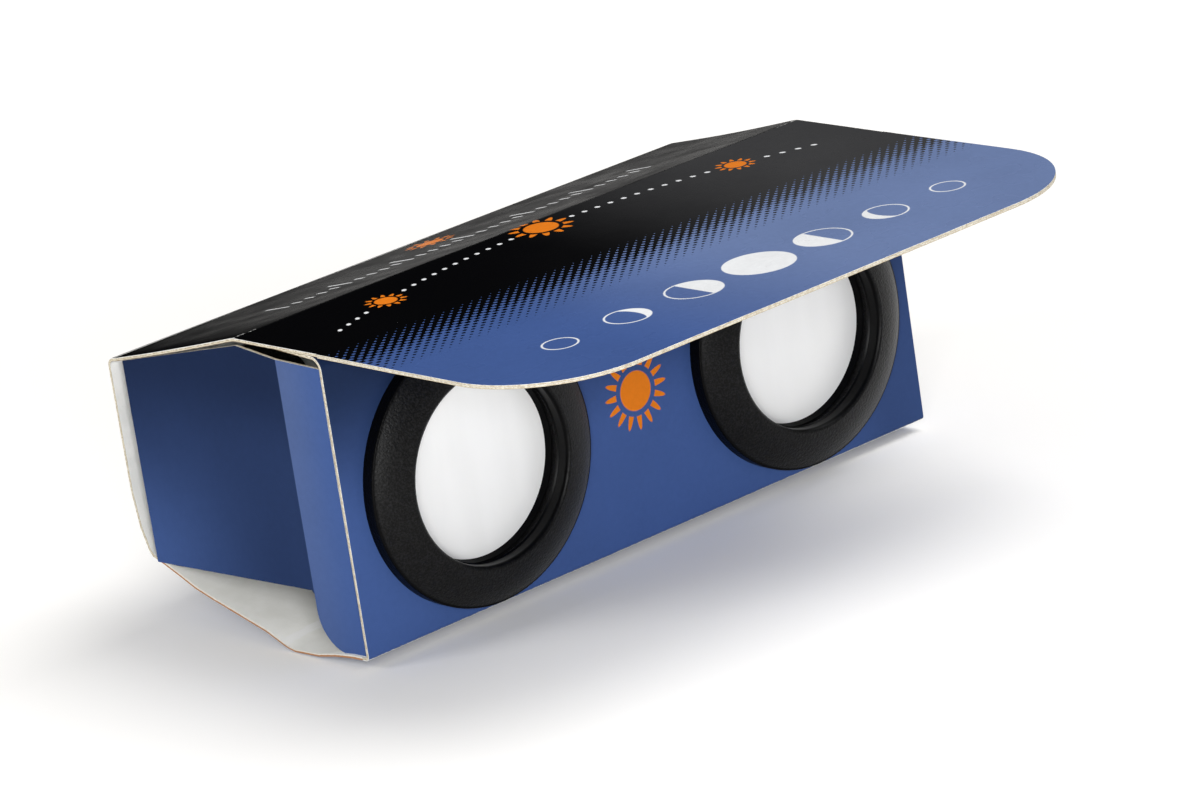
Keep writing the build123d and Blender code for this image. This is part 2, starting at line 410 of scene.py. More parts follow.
def short_of(tree, value, limit, soft=print_edge):
    """1 where a value is short of a limit, with a soft edge."""
    return spread(tree, value, limit - soft, limit + soft, 1.0, 0.0)


def near(tree, value, middle, reach):
    """1 at the middle and 0 from reach outwards."""
    apart = calc(tree, "ABSOLUTE", calc(tree, "SUBTRACT", value, middle))
    return spread(tree, apart, 0.0, reach, 1.0, 0.0)


def length(tree, u, v):
    """How far a point lies from the origin of its two distances."""
    return calc(tree, "SQRT", calc(tree, "ADD", product(tree, u, u), product(tree, v, v)))


def sheet_place(tree):
    """A point's place in the object at rest, in metres, with its x, y and z apart."""
    place = add(tree, "Attribute", {"attribute_name": "rest"}).outputs["Vector"]
    parts = add(tree, "SeparateXYZ", Vector=place)
    return place, parts.outputs[0], parts.outputs[1], parts.outputs[2]


def card_surface(tree, colour, place, rough, bump=1.0, gloss=0.04):
    """Card with fine fibres and a faint waviness under its ink or varnish."""
    fibres = noise(tree, place, scale=fibre_scale, detail=3.0, rough=0.65)
    mottle = noise(tree, place, scale=mottle_scale)
    height = calc(tree, "ADD", product(tree, fibres, fibre_share), mottle)
    relief = add(tree, "Bump", Height=height, Strength=grain_strength * bump, Distance=grain_depth)
    drift = product(tree, calc(tree, "SUBTRACT", mottle, 0.5), rough_drift)
    dull = calc(tree, "ADD", drift, rough)
    surface(tree, Base_Color=colour, Roughness=dull, Normal=relief.outputs[0], Specular_IOR_Level=gloss)


def inked(tree, colour, place, wear):
    """Ink that varies a little in depth and is rubbed to the white coat where wear nears 1."""
    drift = noise(tree, place, scale=ink_drift_scale, detail=3.0)
    speck = noise(tree, place, scale=ink_speck_scale, rough=0.7)
    tone = calc(
        tree,
        "ADD",
        spread(tree, drift, *wide_span, *ink_drift_tones),
        spread(tree, speck, *wide_span, *ink_speck_tones),
    )
    chips = noise(tree, place, scale=chip_scale, detail=4.0, rough=0.75)
    rubbed = spread(tree, calc(tree, "ADD", wear, chips), *chip_limits)
    return mix(tree, rubbed, toned(tree, colour, tone), coat_white)


def end_wear(tree, x, half):
    """Rubbing beside the two cut ends."""
    return spread(tree, calc(tree, "ABSOLUTE", x), half - end_wear_reach, half, 0.0, end_wear_level)


def disc_mask(tree, u, v, centre, radius, soft=disc_edge):
    """1 inside a disc, then the point's distance from its centre, whole and by its two parts."""
    du = calc(tree, "SUBTRACT", u, centre[0])
    dv = calc(tree, "SUBTRACT", v, centre[1])
    away = length(tree, du, dv)
    return short_of(tree, away, radius, soft), away, du, dv


def sun_mask(tree, u, v, centre, disc, rays, count):
    """A plain disc in a ring of pointed rays."""
    inside, away, du, dv = disc_mask(tree, u, v, centre, disc)
    turn = product(tree, calc(tree, "ARCTAN2", dv, du), float(count))
    ripple = product(tree, calc(tree, "ADD", calc(tree, "COSINE", turn), 1.0), 0.5)
    tip = spread(tree, away, *rays, ray_foot, 1.0, smooth=False)
    ray = past(tree, calc(tree, "SUBTRACT", ripple, tip), 0.0, ray_softness)
    ring = product(
        tree, ray, past(tree, away, rays[0]), short_of(tree, away, rays[1], 2 * print_edge)
    )
    return calc(tree, "MAXIMUM", inside, ring)


def clouded(tree, place, dark, light):
    """Unprinted card, in soft clouds of two greys."""
    cloud = noise(tree, place, scale=cloud_scale, detail=4.0, rough=0.6)
    return mix(tree, spread(tree, cloud, *middle_span), dark, light)


def ply_level(tree, place, ragged):
    """How deep a point of the cut edge lies in the card: 0 at the print, 1 at the back, uneven."""
    depth = add(tree, "Attribute", {"attribute_name": "depth"}).outputs["Fac"]
    shake = calc(tree, "SUBTRACT", noise(tree, place, scale=shake_scale, detail=3.0), 0.5)
    return calc(tree, "ADD", depth, product(tree, shake, ragged))


board_print, tree = blank_material("lens_board_print")
place, x, y, z = sheet_place(tree)
# A thin whitish line runs along the foot fold, paling the ink there.
foot_pale_line = near(tree, z, foot_pale_line_z, foot_pale_line_reach)
wear = calc(tree, "MAXIMUM", product(tree, end_wear(tree, x, half_width), board_wear_share), foot_pale_line)
sun = sun_mask(tree, x, z, emblem_place, emblem_disc, emblem_rays, emblem_ray_count)
# Painted shade: the blue darkens towards the top, under the hood, and towards the right end.
ground = mix(tree, spread(tree, z, *painted_shade_heights), blue_ink, painted_shade_blue)
ground = mix(tree, spread(tree, x, *painted_shade_right_end, 0.0, painted_shade_right_share), ground, painted_shade_blue)
card_surface(tree, inked(tree, mix(tree, sun, ground, orange_ink), place, wear), place, print_rough)

bare_card, tree = blank_material("bare_card")
place, x, y, z = sheet_place(tree)
flecks = noise(tree, place, scale=fleck_scale, rough=0.8)
fleck = spread(tree, flecks, *fleck_span, 0.0, fleck_share)
grey = clouded(tree, place, bare_grey, bare_pale)
card_surface(tree, mix(tree, fleck, grey, fleck_grey), place, rough=0.85, bump=2.0, gloss=0.08)

cut_edge, tree = blank_material("cut_edge")
place, x, y, z = sheet_place(tree)
level = ply_level(tree, place, ragged=0.45)
fibre = noise(tree, place, scale=cut_fibre_scale, detail=3.0, rough=0.7)
core = mix(tree, spread(tree, fibre, *cut_fibre_span), core_tan, ply_cream)
inner_ply = mix(tree, spread(tree, level, *core_depths), core, ply_cream)
layers = mix(tree, spread(tree, level, *coat_depths), coat_white, inner_ply)
layers = mix(tree, spread(tree, level, *seam_depths), layers, seam_brown)
card_surface(tree, layers, place, rough=0.9, bump=3.0, gloss=0.1)

lens_board = start_strip(
    "lens_board", half_width, [(front_y, fold_radius), (front_y, flap_top_z), (flap_back_y, flap_top_z)]
)
round_edge(front_y, flap_top_z, curl_radius, segments=10)
slice_sheet(0, -half_width, half_width)
pick("VERT", lambda c: c.y > flap_back_y - card / 10)
bpy.ops.transform.resize(value=(1 - flap_inset / half_width, 1, 1), center_override=(0, 0, 0))
thicken(lens_board, card, (board_print, bare_card, cut_edge))
bore(lens_board, hole_radius, front_y)
settle(lens_board)
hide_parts("front_panel", "glue_flap")
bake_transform(lens_board)

# The liner is a second ply of unprinted card, cut with the same two holes and glued behind the
# lens board. The end flaps fold out of it.
liner = nodes["front_liner"]
liner_card, tree = blank_material("liner_card")
place = add(tree, "TexCoord").outputs["Object"]
card_surface(tree, clouded(tree, place, bare_grey, bare_pale), place, rough=0.85, bump=2.0, gloss=0.15)
liner.data.materials.clear()
liner.data.materials.append(liner_card)

# The top sheet runs from the fold line over the lens board back over the crease to the eye board.
# It is coated card, printed black in front of the crease and on the sloping strip behind, with a painted
# sheen that lightens the black, the blue and the strip towards the right end.
# A fade of dots leads into blue, and plain drawings of the sun's path and of a scale lie on it.
liner_y = front_y + card
strip_sag = 0.0003
crease_radius = 0.0006
rear_lap = 0.0016
sheet_waves = 0.00022
black_ink = (0.0015, 0.0015, 0.002)
# Painted sheen: the paler tones that the black, the blue and the strip behind the crease take on towards the
# right end.
painted_sheen_on_black = (0.040, 0.040, 0.042)
painted_sheen_on_strip = (0.006, 0.006, 0.007)
painted_sheen_on_blue = (0.140, 0.198, 0.375)
white_ink = (0.80, 0.81, 0.82)
painted_sheen_black_x = (-0.008, 0.045)
painted_sheen_strip_x = (-0.050, -0.010)
painted_sheen_blue_x = (-0.036, 0.012)
varnish_rough = 0.28
front_gloss = (-0.010, 0.030, 0.01, 0.06)
strip_gloss = (-half_width, 0.0, 0.0, 0.01)
crease_rub_reach = 0.0007
crease_rub_ends = 0.012
crease_rub_levels = (0.42, 0.78)

dot_pitches = (0.00186, 0.00168)
dot_softness = 0.06
dot_range = 1.05
fade_start = (-0.0130, -0.040)
fade_end = (-0.0293, -0.024)
sun_path_y = -0.0042
path_rise = 0.0105
path_reach = 0.050
path_dot_pitch = 0.0025
path_dot_radius = 0.00042
sun_places = ((-0.72, 0.8), (0.0, 1.25), (0.72, 0.8))
sun_disc = 0.0022
sun_rays = (0.0028, 0.0041)
sun_ray_count = 12
sun_clearance = 0.0006
tick_pitch = 0.0025
tick_count = 15
tick_half = 0.00028
tick_start_y = 0.0225
tick_end_y = 0.0250
long_tick_end_y = 0.0285
tick_edge = 0.00005
strip_sun_y = 0.0337


def comb(tree, value, pitch):
    """The distance to the nearest of evenly spaced lines, of which one is at 0."""
    return calc(tree, "PINGPONG", value, pitch / 2)


def top_ground(tree, x, y):
    """Black that breaks up through a fade of dots into blue, and black behind the crease, all lightened
    towards the right end by painted sheen.
    """
    waves = [
        calc(tree, "COSINE", product(tree, part, 2 * pi / pitch)) for part, pitch in zip((x, y), dot_pitches)
    ]
    ends = [calc(tree, "ADD", product(tree, x, slant), middle) for middle, slant in (fade_end, fade_start)]
    bar = spread(tree, y, *ends, -dot_range, dot_range, smooth=False)
    dots = past(tree, calc(tree, "SUBTRACT", product(tree, *waves), bar), 0.0, dot_softness)
    black_part = mix(tree, spread(tree, x, *painted_sheen_black_x), black_ink, painted_sheen_on_black)
    blue_part = mix(tree, spread(tree, x, *painted_sheen_blue_x), blue_ink, painted_sheen_on_blue)
    strip_part = mix(tree, spread(tree, x, *painted_sheen_strip_x), black_ink, painted_sheen_on_strip)
    return mix(tree, past(tree, y, crease_y), mix(tree, dots, black_part, blue_part), strip_part)


def draw_sun_path(tree, x, y, ground):
    """A dotted arc in white, with three suns in orange on it."""
    share = calc(tree, "DIVIDE", x, path_reach)
    arc_y = calc(tree, "ADD", product(tree, share, share, -path_rise), sun_path_y + path_rise)
    from_arc = calc(tree, "SUBTRACT", y, arc_y)
    from_dot = comb(tree, calc(tree, "ADD", x, path_dot_pitch / 2), path_dot_pitch)
    on_dot = short_of(tree, length(tree, from_arc, from_dot), path_dot_radius)
    in_reach = short_of(tree, calc(tree, "ABSOLUTE", x), path_reach - print_edge)
    suns = 0.0
    near_sun = 0.0
    for place_share, size in sun_places:
        centre = (place_share * path_reach, sun_path_y + path_rise * (1 - place_share**2))
        rays = [size * radius for radius in sun_rays]
        sun = sun_mask(tree, x, y, centre, size * sun_disc, rays, sun_ray_count)
        suns = calc(tree, "MAXIMUM", suns, sun)
        clear = disc_mask(tree, x, y, centre, rays[1] + sun_clearance)[0]
        near_sun = calc(tree, "MAXIMUM", near_sun, clear)
    dotted = product(tree, on_dot, in_reach, calc(tree, "SUBTRACT", 1.0, near_sun))
    return mix(tree, suns, mix(tree, dotted, ground, white_ink), orange_ink)


def draw_scale(tree, x, y, ground):
    """A row of white ticks, of which each fifth is longer, and one orange sun behind them."""
    from_middle = calc(tree, "ABSOLUTE", x)
    thin = short_of(tree, comb(tree, from_middle, tick_pitch), tick_half, 0.4 * tick_half)
    from_fifth = comb(tree, from_middle, 5 * tick_pitch)
    is_fifth = short_of(tree, from_fifth, 0.45 * tick_pitch, 0.05 * tick_pitch)
    end_y = calc(tree, "ADD", product(tree, is_fifth, long_tick_end_y - tick_end_y), tick_end_y)
    started = past(tree, y, tick_start_y, tick_edge)
    going_on = short_of(tree, calc(tree, "SUBTRACT", y, end_y), 0.0, tick_edge)
    in_reach = short_of(tree, from_middle, (tick_count + 0.1) * tick_pitch, 0.1 * tick_pitch)
    ticks = product(tree, thin, started, going_on, in_reach)
    sun = sun_mask(tree, x, y, (0.0, strip_sun_y), sun_disc, sun_rays, sun_ray_count)
    return mix(tree, sun, mix(tree, ticks, ground, white_ink), orange_ink)


def top_artwork(tree, x, y):
    """The printed colours of the whole top."""
    return draw_scale(tree, x, y, draw_sun_path(tree, x, y, top_ground(tree, x, y)))


top_print, tree = blank_material("top_print")
place, x, y, z = sheet_place(tree)
rub_level = spread(
    tree, calc(tree, "ABSOLUTE", x), half_width - crease_rub_ends, half_width, *crease_rub_levels
)
crease_rub = product(tree, near(tree, y, crease_y, crease_rub_reach), rub_level)
wear = calc(tree, "MAXIMUM", end_wear(tree, x, half_width), crease_rub)
behind = past(tree, y, crease_y, 5 * print_edge)
gloss = add(
    tree, "Mix", Factor=behind, A=spread(tree, x, *front_gloss), B=spread(tree, x, *strip_gloss)
).outputs[0]
card_surface(tree, inked(tree, top_artwork(tree, x, y), place, wear), place, varnish_rough, gloss=gloss)

slope = (top_z - back_top_z) / (back_y - crease_y)
lap_y = back_y - rear_lap
lap_z = back_top_z + rear_lap * slope
sag_y = (crease_y + lap_y) / 2
sag_z = (top_z + lap_z) / 2 - strip_sag
top_sheet = start_strip(
    "top_sheet", half_width, [(liner_y, top_z), (crease_y, top_z), (sag_y, sag_z), (lap_y, lap_z)]
)
round_edge(crease_y, top_z, crease_radius, segments=4)
round_edge(sag_y, sag_z, (lap_y - crease_y) / 3, segments=8)
slice_sheet(0, -half_width, half_width)
slice_sheet(1, liner_y, crease_y)
thicken(top_sheet, card, (top_print, bare_card, cut_edge), sheet_waves)
settle(top_sheet)
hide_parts("top_front_panel", "top_back_panel")
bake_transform(top_sheet)

# The hood is the same sheet carried on in front of the fold line, with a backing ply glued below.
# Its two front corners are cut round. The blue ground carries the phases of the moon in white.
hood_low, hood_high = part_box("hood_sheet")
rear_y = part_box("hood_backing")[1].y
hood_ply = 0.00030
hood_corners = ((-1, 0.018), (1, 0.0215))
lip_wear_reach = 0.0007
lip_wear = 0.60
under_wear_start = 0.004
under_wear_end = 0.002
moon_row_y = -0.0420
moon_pitch = 0.0132
moon_radii = (0.0028, 0.0036, 0.0045, 0.0056, 0.0045, 0.0036, 0.0028)
moon_phases = ((0.0, 1.0), (0.25, 1.0), (0.5, 1.0), (1.0, 1.0), (0.5, -1.0), (0.25, -1.0), (0.0, -1.0))
moon_line = 0.0003


def moon_mask(tree, x, y, centre, radius, lit_share, side):
    """A moon whose lit part ends at half an ellipse; side is the side that the light comes from."""
    inside, away, du, dv = disc_mask(tree, x, y, centre, radius, print_edge)
    rest_square = calc(tree, "SUBTRACT", radius * radius, product(tree, dv, dv))
    rim = calc(tree, "SQRT", calc(tree, "MAXIMUM", rest_square, 0.0))
    border = product(tree, rim, 1 - 2 * lit_share)
    from_border = calc(tree, "SUBTRACT", product(tree, du, side), border)
    lit_part = product(tree, inside, past(tree, from_border, 0.0))
    outline = product(tree, inside, past(tree, away, radius - moon_line))
    return calc(tree, "MAXIMUM", lit_part, outline)


hood_print, tree = blank_material("hood_print")
place, x, y, z = sheet_place(tree)
# The ground under the moons carries the same painted sheen towards the right end.
art = top_artwork(tree, x, y)
for i, (radius, (lit_share, side)) in enumerate(zip(moon_radii, moon_phases)):
    centre = ((i - len(moon_radii) // 2) * moon_pitch, moon_row_y)
    art = mix(tree, moon_mask(tree, x, y, centre, radius, lit_share, side), art, white_ink)
at_lip = spread(tree, y, hood_low.y, hood_low.y + lip_wear_reach, lip_wear, 0.0)
wear = calc(tree, "MAXIMUM", end_wear(tree, x, hood_high.x), at_lip)
gloss = spread(tree, x, *front_gloss)
card_surface(tree, inked(tree, art, place, wear), place, varnish_rough, bump=0.2, gloss=gloss)

under_print, tree = blank_material("hood_under_print")
place, x, y, z = sheet_place(tree)
in_front = spread(tree, y, rear_y - under_wear_start, rear_y - under_wear_end, 1.0, 0.0)
wear = product(tree, end_wear(tree, x, hood_high.x), in_front)
card_surface(tree, inked(tree, blue_ink, place, wear), place, rough=0.45)


def hood_ply_sheet(name, end_y, surface_z, looks):
    """One ply of the hood, cut round at its front corners, whose end at the fold takes the ply's second
    finish.
    """
    piece = start_strip(name, hood_high.x, [(hood_low.y, surface_z), (end_y, surface_z)])
    for side, corner in hood_corners:
        pick("VERT", lambda c: c.y < hood_low.y + card and c.x * side > hood_high.x - card)
        bpy.ops.mesh.bevel(offset=corner, segments=24, affect="VERTICES")
    slice_sheet(0, hood_low.x, hood_high.x)
    slice_sheet(1, hood_low.y, end_y)
    thicken(piece, hood_ply, looks, sheet_waves)
    bpy.ops.object.mode_set(mode="EDIT")
    pick("FACE", lambda c: c.y > end_y - card / 100)
    piece.active_material_index = 1
    bpy.ops.object.material_slot_assign()
    bpy.ops.object.mode_set(mode="OBJECT")
    settle(piece)
    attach(piece, "hood")
    return piece


hood_top = hood_ply_sheet("hood_top_ply", liner_y, top_z, (hood_print, bare_card, cut_edge))
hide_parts("hood_sheet")
hood_under = hood_ply_sheet("hood_backing_ply", rear_y, top_z - hood_ply, (bare_card, under_print, cut_edge))
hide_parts("hood_backing")

# The eye board is the panel behind the crease of the top sheet. It holds the two eye cells, and a
# narrow lap at its foot turns in over the sloping underside. At the cut ends its foot has sprung in.
rear_radius = 0.0011
foot_radius = 0.0012
foot_lap = 0.0016
foot_lean = 0.0012
foot_lift = 0.0004
foot_y = back_y - foot_lean
foot_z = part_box("back_panel")[0].z - card + foot_lift
base_slope = foot_z / (foot_y - crease_y)
lap_end = (foot_y - foot_lap, foot_z - foot_lap * base_slope)
eye_hole_radius = 0.0104
end_spring = (-0.0011, 0.0009)
end_spring_reach = 0.012
rear_rub_reach = 0.0010
rear_rub_level = 0.5
rear_ink_drop = 0.0008


def bend_ends(low, high, move, reach):
    """Bends both cut ends where their (y, z) lies between two corners, with a soft run-out."""
    pick("VERT", lambda c: abs(c.x) > half_width - card and low[0] < c.y < high[0] and low[1] < c.z < high[1])
    bpy.ops.transform.translate(
        value=(0, *move),
        use_proportional_edit=True,
        proportional_edit_falloff="SMOOTH",
        proportional_size=reach,
    )


rear_print, tree = blank_material("rear_print")
place, x, y, z = sheet_place(tree)
rubs = [near(tree, z, fold_z, rear_rub_reach) for fold_z in (back_top_z, foot_z)]
edge_rub = product(tree, calc(tree, "MAXIMUM", *rubs), rear_rub_level)
wear = calc(tree, "MAXIMUM", end_wear(tree, x, half_width), edge_rub)
ink = mix(tree, past(tree, z, back_top_z - rear_ink_drop), blue_ink, black_ink)
card_surface(tree, inked(tree, ink, place, wear), place, print_rough)

eye_board = start_strip(
    "eye_board",
    half_width,
    [(lap_y, lap_z), (back_y, back_top_z), (back_y, axis_z - eye_hole_radius), (foot_y, foot_z), lap_end],
)
round_edge(back_y, back_top_z, rear_radius, segments=6)
round_edge(foot_y, foot_z, foot_radius, segments=5)
slice_sheet(0, -half_width, half_width)
slice_sheet(2, foot_z, axis_z)
bend_ends((lap_end[0] - card / 5, 0), (back_y, foot_z + foot_radius), end_spring, end_spring_reach)
thicken(eye_board, card, (rear_print, bare_card, cut_edge))
bore(eye_board, eye_hole_radius, back_y)
settle(eye_board)
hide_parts("back_panel")
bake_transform(eye_board)

# The base is the last panel of the blank: a flat front section to stand on, a crease, and a slope
# up to the eye board. Its printed side is underneath, and its bare side shows at the open ends.
base_sag = 0.0006
base_radius = 0.0008
base_start_y = front_y + 2 * fold_radius
middle_drop = (0, -0.0008)
middle_drop_reach = 0.0065
base_rub_reach = 0.0008
base_rub_level = 0.5
outer_line_depths = (0.40, 0.62)
scuff_reach = 0.0022
scuff_scale = 1500.0
scuff_stretch = (0.25, 1.0, 1.0)
scuff_limits = (0.26, 0.38)
base_ply = (0.70, 0.68, 0.61)
rust_brown = (0.42, 0.19, 0.08)
# Painted light: the base's bare card is paler than the other bare card, as well as a little warmer.
base_painted_light_grey = (0.86, 0.86, 0.82)
base_painted_light_pale = (0.93, 0.93, 0.90)
scuff_white = (0.93, 0.93, 0.92)

base_print, tree = blank_material("base_print")
place, x, y, z = sheet_place(tree)
crease_rub = product(tree, near(tree, y, crease_y, base_rub_reach), base_rub_level)
wear = calc(tree, "MAXIMUM", end_wear(tree, x, half_width), crease_rub)
card_surface(tree, inked(tree, blue_ink, place, wear), place, rough=0.45)

base_cut_edge, tree = blank_material("base_cut_edge")
place, x, y, z = sheet_place(tree)
outer_line = spread(tree, ply_level(tree, place, ragged=0.3), *outer_line_depths, 1.0, 0.0)
card_surface(tree, mix(tree, outer_line, base_ply, rust_brown), place, rough=0.9, bump=3.0, gloss=0.05)

creased_card, tree = blank_material("creased_bare_card")
place, x, y, z = sheet_place(tree)
strokes = add(tree, "Mapping", Vector=place, Scale=scuff_stretch).outputs[0]
streaks = noise(tree, strokes, scale=scuff_scale, detail=3.0, rough=0.6)
scuff = spread(tree, product(tree, near(tree, y, crease_y, scuff_reach), streaks), *scuff_limits)
# The bare card here is a warmer grey than elsewhere, and paler too, as painted light on the shaded inside of
# the base.
grey = clouded(tree, place, base_painted_light_grey, base_painted_light_pale)
card_surface(tree, mix(tree, scuff, grey, scuff_white), place, rough=0.85, bump=2.0, gloss=0.05)

base_sheet = start_strip(
    "base_sheet",
    half_width,
    [lap_end, (crease_y, -base_sag / 2), (crease_y - 3 * base_radius, -base_sag), (base_start_y, 0)],
)
round_edge(crease_y, -base_sag / 2, base_radius, segments=4)
slice_sheet(0, -half_width, half_width)
slice_sheet(1, front_y, crease_y)
slice_sheet(1, crease_y, back_y)
bend_ends((lap_end[0] - card / 5, 0), (back_y, foot_z), end_spring, end_spring_reach)
bend_ends((-2 * card, -2 * card), (crease_y - 4 * card, card), middle_drop, middle_drop_reach)
thicken(base_sheet, card, (base_print, creased_card, base_cut_edge))
settle(base_sheet)
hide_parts("bottom_front_panel", "bottom_back_panel")
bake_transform(base_sheet)

# The fold at the foot joins the lens board to the base. It is a narrow strip of the same printed
# card, scored and folded round. The round takes up nearly all of the strip.
round_share = 0.98

base_fold = start_strip("base_fold", half_width, [(base_start_y, 0), (front_y, 0), (front_y, fold_radius)])
round_edge(front_y, 0, fold_radius * round_share, segments=6)
thicken(base_fold, card, (board_print, bare_card, cut_edge))
settle(base_fold)
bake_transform(base_fold)

# Each end flap is a strip that stands square to the lens board, and a longer leaf folded from it
# that braces the eye board and springs a little outward. It is cut from the liner's card and
# printed blue outside, and the strip's lower free corner is cut round.
strip_low, strip_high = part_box("left_wing_strip")
leaf_low, leaf_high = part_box("left_wing_panel")
flap_x = -strip_low.x
fold_y = strip_high.y
strip_corner = 0.006
strip_foot = 0.0001
strip_gap = 0.0002
leaf_foot = 0.0092
leaf_end_y = 0.0380
leaf_end_foot = 0.0082
leaf_spring = 0.0007
top_at_board = 0.0450
top_at_fold = 0.0452
top_at_crease = 0.0463
top_at_end = 0.0405
flap_waves = 0.0002
# Painted light on the strip: a paler blue towards the fold and towards its top.
strip_painted_light = (0.081, 0.122, 0.262)
strip_painted_light_heights = (0.0, 0.047)
strip_painted_light_along = (0.1, 0.9)
strip_painted_light_up = (0.6, 1.0)
# Painted light and shade on the leaf: its blue is darkened all over and most at its top, and lightened low
# down towards its back.
leaf_painted_light_back = 0.004
leaf_painted_light_top = 0.034
leaf_painted_light = 0.50
leaf_painted_shade = 0.22
leaf_painted_shade_foot = 0.35
leaf_painted_shade_heights = (0.029, 0.042)
fold_rub_reach = 0.0005
fold_rub_level = 0.42

flap_print, tree = blank_material("end_flap_print")
place, x, y, z = sheet_place(tree)
# Painted light and shade: the leaf's blue is darkened, most at its top, and lift lightens it low down towards
# its back.
behind_fold = spread(tree, y, fold_y + leaf_painted_light_back, leaf_high.y)
below_top = spread(tree, z, leaf_low.z, leaf_painted_light_top, 1.0, 0.0)
lift = product(tree, behind_fold, below_top, leaf_painted_light)
painted_leaf_shade = spread(tree, z, *leaf_painted_shade_heights, leaf_painted_shade_foot, leaf_painted_shade)
leaf_ink = toned(tree, blue_ink, calc(tree, "ADD", lift, painted_leaf_shade))
# Painted light: the strip's blue turns paler towards the fold and towards its top.
to_fold = spread(tree, y, strip_low.y, fold_y, *strip_painted_light_along)
painted_light_share = product(tree, to_fold, spread(tree, z, *strip_painted_light_heights, *strip_painted_light_up))
strip_ink = mix(tree, painted_light_share, blue_ink, strip_painted_light)
ink = mix(tree, past(tree, y, fold_y), strip_ink, leaf_ink)
fold_rub = product(tree, near(tree, y, fold_y, fold_rub_reach), fold_rub_level)
card_surface(tree, inked(tree, ink, place, fold_rub), place, print_rough, gloss=0.01)


def end_flap(side, name):
    """The strip and the leaf as one sheet, folded between them."""
    bpy.ops.object.select_all(action="DESELECT")
    bpy.ops.mesh.primitive_plane_add(size=2, rotation=(0, pi / 2, 0))
    piece = bpy.context.object
    piece.name = name
    bpy.ops.object.transform_apply(location=True, rotation=True, scale=True)
    bpy.ops.object.mode_set(mode="EDIT")
    corners = {
        (-1, -1): (strip_low.y + strip_gap, strip_foot),
        (1, -1): (fold_y, strip_foot),
        (1, 1): (fold_y, top_at_fold),
        (-1, 1): (strip_low.y + strip_gap, top_at_board),
    }
    for (from_y, from_z), (to_y, to_z) in corners.items():
        pick("VERT", lambda c: abs(c.y - from_y) < card and abs(c.z - from_z) < card)
        shift(to_y - from_y, to_z - from_z, side * flap_x)
    bpy.ops.mesh.select_all(action="SELECT")
    bpy.ops.mesh.bisect(plane_co=(0, 0, leaf_foot), plane_no=(0, 0, 1))
    pick("EDGE", lambda c: abs(c.y - fold_y) < card / 10 and c.z > leaf_foot)
    spring_slope = side * leaf_spring / (leaf_end_y - fold_y)
    stretches = (
        (fold_y, crease_y, top_at_crease - top_at_fold),
        (crease_y, leaf_end_y, top_at_end - top_at_crease),
    )
    for start_y, end_y, rise in stretches:
        reach = end_y - start_y
        bpy.ops.mesh.extrude_region_move(
            TRANSFORM_OT_translate={"value": (spring_slope * reach, reach, 0)}
        )
        pick("VERT", lambda c: c.y > end_y - card and c.z > top_z / 2)
        shift(0, rise)
        pick("EDGE", lambda c: c.y > end_y - card and c.z > leaf_foot)
    pick("VERT", lambda c: c.y > leaf_end_y - card and c.z < top_z / 2)
    shift(0, leaf_end_foot - leaf_foot)
    crease_share = (crease_y - fold_y) / (leaf_end_y - fold_y)
    pick("VERT", lambda c: abs(c.y - crease_y) < card and c.z < top_z / 2)
    shift(0, (leaf_end_foot - leaf_foot) * crease_share)
    pick("VERT", lambda c: abs(c.y - fold_y) < card / 10 and c.z < strip_foot + card)
    bpy.ops.mesh.bevel(offset=strip_corner, segments=14, affect="VERTICES")
    pick("EDGE", lambda c: abs(c.y - fold_y) < card / 10 and c.z > leaf_foot)
    bpy.ops.mesh.bevel(offset=card, segments=4, affect="EDGES")
    bpy.ops.mesh.select_all(action="SELECT")
    if side < 0:
        bpy.ops.mesh.flip_normals()
    slice_sheet(2, strip_foot, strip_high.z)
    slice_sheet(1, fold_y + card, leaf_end_y)
    thicken(piece, card, (flap_print, bare_card, cut_edge), flap_waves, direction="X")
    settle(piece)
    return piece


for side, name in ((-1, "left"), (1, "right")):
    flap = end_flap(side, f"{name}_end_flap")
    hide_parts(f"{name}_wing_strip", f"{name}_wing_panel")
    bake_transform(flap)

# The rings and retainers of the lens cells are moulded in black plastic, with a fine spark-eroded
# grain on their faces and a smooth bore. A cap behind the lens board holds each objective ring.
eye_ring_low, eye_ring_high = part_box("left_eye_ring")
objective_bore = 0.0150
eye_bore = 0.0092
bore_edge = 0.0002
rim_inset = 0.0004
face_black = (0.0010, 0.0010, 0.0011)
face_speck = (0.010, 0.010, 0.0103)
bore_black = (0.0015, 0.0015, 0.0017)
face_speck_scale = 3400.0
face_speck_span = (0.40, 0.66)
mould_grain_scale = 2400.0
mould_pit_scale = 2600.0
mould_pit_share = 0.6
mould_grain_depth = 0.0001
mould_grain_strength = 0.55
bore_rough = 0.34
face_rough = 0.40
bore_gloss = 0.07
face_gloss = 0.14
face_sheen = 0.16


